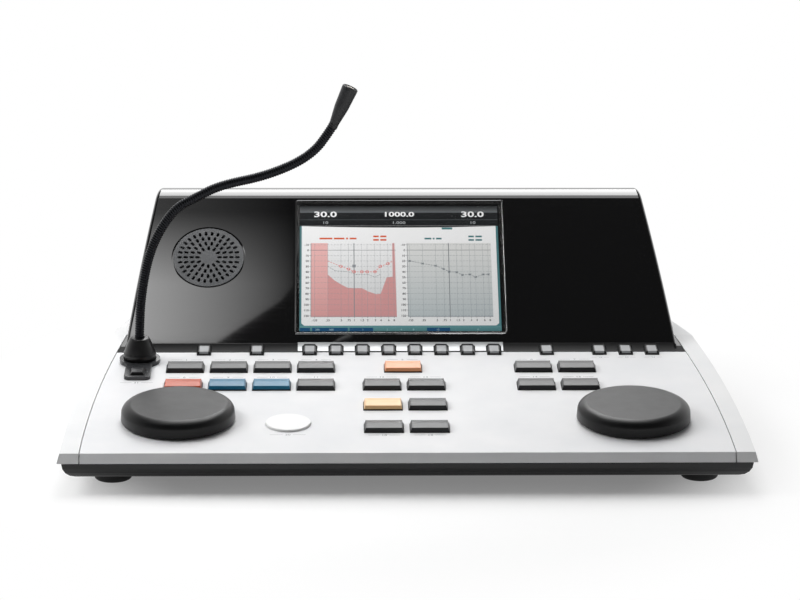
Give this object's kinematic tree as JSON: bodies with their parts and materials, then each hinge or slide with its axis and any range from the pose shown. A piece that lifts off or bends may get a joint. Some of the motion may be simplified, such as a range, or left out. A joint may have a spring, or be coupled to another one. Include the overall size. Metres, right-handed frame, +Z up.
{
  "type": "audiometer",
  "caption": "Desktop audiometer with a sloped white control plate, push buttons, two dials, a leaning black display hood and a gooseneck microphone.",
  "frame": {"origin": "centre of the bounding box's footprint, on the table under the feet", "axes": "+X to the user's right and the longest way, +Y to the rear, +Z up"},
  "size_m": [0.365, 0.295, 0.1926],
  "materials": {
    "white_shell": "satin",
    "gloss_black": "gloss",
    "clear_pane": "gloss",
    "screen": "lit",
    "dark_metal": "satin",
    "speaker_parts": "plain",
    "encoder_metal": "plain",
    "circuit_board": "plain",
    "black_plastic": "matte",
    "dark_plastic": "gloss",
    "rubber": "matte",
    "steel": "plain",
    "jack_plastic": "matte",
    "dial_plastic": "matte",
    "neck_metal": "satin",
    "grey_cap": "satin",
    "orange_cap": "satin",
    "red_cap": "satin",
    "blue_cap": "satin",
    "cream_cap": "satin",
    "white_cap": "satin"
  },
  "bodies": {
    "base": {"control_plate": "white_shell", "side_trims": "white_shell", "display_hood": "gloss_black", "display_window": "clear_pane", "lcd_module": "screen", "speaker_grille": "dark_metal", "loudspeaker": "speaker_parts", "dial_encoders": "encoder_metal", "key_board": "circuit_board", "key_switches": "black_plastic", "main_board": "circuit_board", "mic_socket": "dark_plastic", "mic_boot": "rubber", "bottom_case": "black_plastic", "rubber_feet": "rubber", "case_screws": "steel", "rear_panel": "dark_metal", "rear_jacks": "jack_plastic", "power_inlet": "black_plastic"},
    "row_one_key_1": {"row_one_key_1": "grey_cap"},
    "row_one_key_2": {"row_one_key_2": "grey_cap"},
    "row_one_key_3": {"row_one_key_3": "grey_cap"},
    "row_one_key_4": {"row_one_key_4": "grey_cap"},
    "row_one_key_5": {"row_one_key_5": "orange_cap"},
    "row_one_key_6": {"row_one_key_6": "grey_cap"},
    "row_one_key_7": {"row_one_key_7": "grey_cap"},
    "row_two_key_1": {"row_two_key_1": "red_cap"},
    "row_two_key_2": {"row_two_key_2": "blue_cap"},
    "row_two_key_3": {"row_two_key_3": "blue_cap"},
    "row_two_key_4": {"row_two_key_4": "grey_cap"},
    "row_two_key_5": {"row_two_key_5": "grey_cap"},
    "row_two_key_6": {"row_two_key_6": "grey_cap"},
    "row_two_key_7": {"row_two_key_7": "grey_cap"},
    "row_two_key_8": {"row_two_key_8": "grey_cap"},
    "row_three_key_1": {"row_three_key_1": "cream_cap"},
    "row_three_key_2": {"row_three_key_2": "grey_cap"},
    "row_four_key_1": {"row_four_key_1": "grey_cap"},
    "row_four_key_2": {"row_four_key_2": "grey_cap"},
    "small_key_1": {"small_key_1": "grey_cap"},
    "small_key_2": {"small_key_2": "grey_cap"},
    "small_key_3": {"small_key_3": "grey_cap"},
    "small_key_4": {"small_key_4": "grey_cap"},
    "small_key_5": {"small_key_5": "grey_cap"},
    "small_key_6": {"small_key_6": "grey_cap"},
    "small_key_7": {"small_key_7": "grey_cap"},
    "small_key_8": {"small_key_8": "grey_cap"},
    "small_key_9": {"small_key_9": "grey_cap"},
    "small_key_10": {"small_key_10": "grey_cap"},
    "small_key_11": {"small_key_11": "grey_cap"},
    "small_key_12": {"small_key_12": "grey_cap"},
    "small_key_13": {"small_key_13": "grey_cap"},
    "small_key_14": {"small_key_14": "grey_cap"},
    "tone_key": {"tone_key": "white_cap"},
    "talk_key": {"talk_key": "grey_cap"},
    "left_dial": {"left_dial": "dial_plastic"},
    "right_dial": {"right_dial": "dial_plastic"},
    "gooseneck_lower": {"gooseneck_lower": "neck_metal"},
    "gooseneck_upper": {"gooseneck_upper": "neck_metal"},
    "mic_head": {"mic_head": "dark_metal"},
    "power_rocker": {"power_rocker": "black_plastic"}
  },
  "joints": [
    {"name": "left_dial_turn", "type": "hinge", "parent": "base", "child": "left_dial", "pos_m": [-0.1217, -0.09902, 0.02622], "axis": [0, -0.0958, 0.9954], "continuous": true},
    {"name": "right_dial_turn", "type": "hinge", "parent": "base", "child": "right_dial", "pos_m": [0.1217, -0.09902, 0.02622], "axis": [0, -0.0958, 0.9954], "continuous": true},
    {"name": "neck_base_lean", "type": "hinge", "parent": "base", "child": "gooseneck_lower", "pos_m": [-0.1475, -0.01089, 0.05108], "axis": [1, 0, 0], "range_deg": [-25, 30]},
    {"name": "neck_middle_bend", "type": "hinge", "parent": "gooseneck_lower", "child": "gooseneck_upper", "pos_m": [-0.1145, -0.01089, 0.12929], "axis": [0, 1, 0], "range_deg": [-30, 30]},
    {"name": "mic_head_nod", "type": "hinge", "parent": "gooseneck_upper", "child": "mic_head", "pos_m": [-0.0394, -0.01089, 0.16819], "axis": [0, 1, 0], "range_deg": [-35, 35]},
    {"name": "power_rocker_tip", "type": "hinge", "parent": "base", "child": "power_rocker", "pos_m": [0.054, 0.13075, 0.055], "axis": [1, 0, 0], "range_deg": [-14, 0]},
    {"name": "row_one_key_1_press", "type": "slide", "parent": "base", "child": "row_one_key_1", "axis": [0, 0.0958, -0.9954], "range_m": [0, 0.0012], "stiffness_N_per_m": 400},
    {"name": "row_one_key_2_press", "type": "slide", "parent": "base", "child": "row_one_key_2", "axis": [0, 0.0958, -0.9954], "range_m": [0, 0.0012], "stiffness_N_per_m": 400},
    {"name": "row_one_key_3_press", "type": "slide", "parent": "base", "child": "row_one_key_3", "axis": [0, 0.0958, -0.9954], "range_m": [0, 0.0012], "stiffness_N_per_m": 400},
    {"name": "row_one_key_4_press", "type": "slide", "parent": "base", "child": "row_one_key_4", "axis": [0, 0.0958, -0.9954], "range_m": [0, 0.0012], "stiffness_N_per_m": 400},
    {"name": "row_one_key_5_press", "type": "slide", "parent": "base", "child": "row_one_key_5", "axis": [0, 0.0958, -0.9954], "range_m": [0, 0.0012], "stiffness_N_per_m": 400},
    {"name": "row_one_key_6_press", "type": "slide", "parent": "base", "child": "row_one_key_6", "axis": [0, 0.0958, -0.9954], "range_m": [0, 0.0012], "stiffness_N_per_m": 400},
    {"name": "row_one_key_7_press", "type": "slide", "parent": "base", "child": "row_one_key_7", "axis": [0, 0.0958, -0.9954], "range_m": [0, 0.0012], "stiffness_N_per_m": 400},
    {"name": "row_two_key_1_press", "type": "slide", "parent": "base", "child": "row_two_key_1", "axis": [0, 0.0958, -0.9954], "range_m": [0, 0.0012], "stiffness_N_per_m": 400},
    {"name": "row_two_key_2_press", "type": "slide", "parent": "base", "child": "row_two_key_2", "axis": [0, 0.0958, -0.9954], "range_m": [0, 0.0012], "stiffness_N_per_m": 400},
    {"name": "row_two_key_3_press", "type": "slide", "parent": "base", "child": "row_two_key_3", "axis": [0, 0.0958, -0.9954], "range_m": [0, 0.0012], "stiffness_N_per_m": 400},
    {"name": "row_two_key_4_press", "type": "slide", "parent": "base", "child": "row_two_key_4", "axis": [0, 0.0958, -0.9954], "range_m": [0, 0.0012], "stiffness_N_per_m": 400},
    {"name": "row_two_key_5_press", "type": "slide", "parent": "base", "child": "row_two_key_5", "axis": [0, 0.0958, -0.9954], "range_m": [0, 0.0012], "stiffness_N_per_m": 400},
    {"name": "row_two_key_6_press", "type": "slide", "parent": "base", "child": "row_two_key_6", "axis": [0, 0.0958, -0.9954], "range_m": [0, 0.0012], "stiffness_N_per_m": 400},
    {"name": "row_two_key_7_press", "type": "slide", "parent": "base", "child": "row_two_key_7", "axis": [0, 0.0958, -0.9954], "range_m": [0, 0.0012], "stiffness_N_per_m": 400},
    {"name": "row_two_key_8_press", "type": "slide", "parent": "base", "child": "row_two_key_8", "axis": [0, 0.0958, -0.9954], "range_m": [0, 0.0012], "stiffness_N_per_m": 400},
    {"name": "row_three_key_1_press", "type": "slide", "parent": "base", "child": "row_three_key_1", "axis": [0, 0.0958, -0.9954], "range_m": [0, 0.0012], "stiffness_N_per_m": 400},
    {"name": "row_three_key_2_press", "type": "slide", "parent": "base", "child": "row_three_key_2", "axis": [0, 0.0958, -0.9954], "range_m": [0, 0.0012], "stiffness_N_per_m": 400},
    {"name": "row_four_key_1_press", "type": "slide", "parent": "base", "child": "row_four_key_1", "axis": [0, 0.0958, -0.9954], "range_m": [0, 0.0012], "stiffness_N_per_m": 400},
    {"name": "row_four_key_2_press", "type": "slide", "parent": "base", "child": "row_four_key_2", "axis": [0, 0.0958, -0.9954], "range_m": [0, 0.0012], "stiffness_N_per_m": 400},
    {"name": "small_key_1_press", "type": "slide", "parent": "base", "child": "small_key_1", "axis": [0, 0.0958, -0.9954], "range_m": [0, 0.0012], "stiffness_N_per_m": 400},
    {"name": "small_key_2_press", "type": "slide", "parent": "base", "child": "small_key_2", "axis": [0, 0.0958, -0.9954], "range_m": [0, 0.0012], "stiffness_N_per_m": 400},
    {"name": "small_key_3_press", "type": "slide", "parent": "base", "child": "small_key_3", "axis": [0, 0.0958, -0.9954], "range_m": [0, 0.0012], "stiffness_N_per_m": 400},
    {"name": "small_key_4_press", "type": "slide", "parent": "base", "child": "small_key_4", "axis": [0, 0.0958, -0.9954], "range_m": [0, 0.0012], "stiffness_N_per_m": 400},
    {"name": "small_key_5_press", "type": "slide", "parent": "base", "child": "small_key_5", "axis": [0, 0.0958, -0.9954], "range_m": [0, 0.0012], "stiffness_N_per_m": 400},
    {"name": "small_key_6_press", "type": "slide", "parent": "base", "child": "small_key_6", "axis": [0, 0.0958, -0.9954], "range_m": [0, 0.0012], "stiffness_N_per_m": 400},
    {"name": "small_key_7_press", "type": "slide", "parent": "base", "child": "small_key_7", "axis": [0, 0.0958, -0.9954], "range_m": [0, 0.0012], "stiffness_N_per_m": 400},
    {"name": "small_key_8_press", "type": "slide", "parent": "base", "child": "small_key_8", "axis": [0, 0.0958, -0.9954], "range_m": [0, 0.0012], "stiffness_N_per_m": 400},
    {"name": "small_key_9_press", "type": "slide", "parent": "base", "child": "small_key_9", "axis": [0, 0.0958, -0.9954], "range_m": [0, 0.0012], "stiffness_N_per_m": 400},
    {"name": "small_key_10_press", "type": "slide", "parent": "base", "child": "small_key_10", "axis": [0, 0.0958, -0.9954], "range_m": [0, 0.0012], "stiffness_N_per_m": 400},
    {"name": "small_key_11_press", "type": "slide", "parent": "base", "child": "small_key_11", "axis": [0, 0.0958, -0.9954], "range_m": [0, 0.0012], "stiffness_N_per_m": 400},
    {"name": "small_key_12_press", "type": "slide", "parent": "base", "child": "small_key_12", "axis": [0, 0.0958, -0.9954], "range_m": [0, 0.0012], "stiffness_N_per_m": 400},
    {"name": "small_key_13_press", "type": "slide", "parent": "base", "child": "small_key_13", "axis": [0, 0.0958, -0.9954], "range_m": [0, 0.0012], "stiffness_N_per_m": 400},
    {"name": "small_key_14_press", "type": "slide", "parent": "base", "child": "small_key_14", "axis": [0, 0.0958, -0.9954], "range_m": [0, 0.0012], "stiffness_N_per_m": 400},
    {"name": "tone_key_press", "type": "slide", "parent": "base", "child": "tone_key", "axis": [0, 0.0958, -0.9954], "range_m": [0, 0.0012], "stiffness_N_per_m": 400},
    {"name": "talk_key_press", "type": "slide", "parent": "base", "child": "talk_key", "axis": [0, 0.0958, -0.9954], "range_m": [0, 0.0012], "stiffness_N_per_m": 400}
  ]
}
